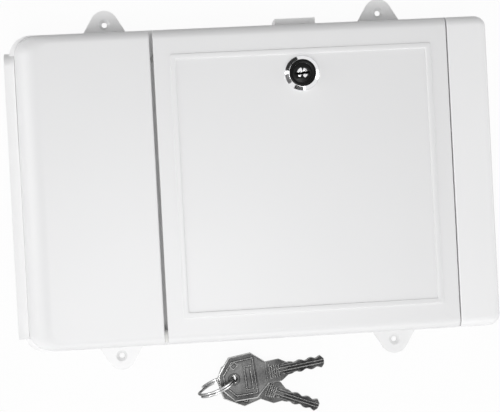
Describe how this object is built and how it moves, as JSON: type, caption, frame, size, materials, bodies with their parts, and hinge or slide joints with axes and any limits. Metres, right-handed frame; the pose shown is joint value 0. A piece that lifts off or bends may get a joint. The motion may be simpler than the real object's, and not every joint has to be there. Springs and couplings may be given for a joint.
{
  "type": "key cabinet",
  "caption": "White plastic wall key cabinet: lockable flap door hinged along the bottom, fixed side covers, countersunk ears, hook rails inside, and keys on a split ring.",
  "frame": {"origin": "centre of the flat back face, on the wall plane", "axes": "+X to the right, +Y to the top of the cabinet as it hangs, +Z out of the front"},
  "size_m": [0.2527, 0.2275, 0.0523],
  "materials": {
    "white_abs": "fine moulded satin white",
    "white_nylon": "natural nylon",
    "steel": "zinc-plated screw steel",
    "zinc": "zinc-plated sheet",
    "chrome": "polished chrome",
    "black_lock": "black satin lacquer",
    "brass": "stamped brass",
    "bright_steel": "bright plated steel",
    "aluminium": "anodised",
    "label": "printed strip",
    "rubber": "soft pale grey",
    "ring_steel": "bright wire",
    "key_nickel": "worn nickel silver"
  },
  "bodies": {
    "cabinet": {"back_tray": "white_abs", "left_cover": "white_abs", "right_cover": "white_abs", "left_cover_screws": "steel", "right_cover_screws": "steel", "hinge_pins": "steel", "hinge_spacers": "white_nylon", "strike_plate": "zinc", "strike_screws": "steel", "hook_rail_top": "aluminium", "hook_rail_middle": "aluminium", "hook_rail_bottom": "aluminium", "number_strip_top": "label", "number_strip_middle": "label", "number_strip_bottom": "label", "hooks_top": "bright_steel", "hooks_middle": "bright_steel", "hooks_bottom": "bright_steel", "rail_screws": "steel", "door_buffers": "rubber", "split_ring": "ring_steel"},
    "door_flap": {"door": "white_abs", "lock_housing": "chrome", "lock_face": "black_lock", "lock_nut": "zinc"},
    "lock_core": {"lock_plug": "black_lock", "plug_wafers": "brass", "keyway_guides": "bright_steel", "lock_cam": "zinc", "cam_washer": "zinc", "cam_screw": "steel"},
    "key_one": {"key_1": "key_nickel"},
    "key_two": {"key_2": "key_nickel"}
  },
  "joints": [
    {"name": "door_hinge", "type": "hinge", "parent": "cabinet", "child": "door_flap", "pos_m": [0.02645, -0.0769, 0.0454], "axis": [1, 0, 0], "range_deg": [0, 95]},
    {"name": "lock_turn", "type": "hinge", "parent": "door_flap", "child": "lock_core", "pos_m": [0.02645, 0.0554, 0.04], "axis": [0, 0, 1], "range_deg": [0, 90]},
    {"name": "key_one_swing", "type": "hinge", "parent": "cabinet", "child": "key_one", "pos_m": [-0.01578, -0.1065, 0.01099], "axis": [0.1703, -0.0235, 0.9851], "range_deg": [0, 14]},
    {"name": "key_two_swing", "type": "hinge", "parent": "cabinet", "child": "key_two", "pos_m": [-0.01578, -0.1065, 0.01099], "axis": [0.1703, -0.0235, 0.9851], "range_deg": [-18, 0]}
  ]
}
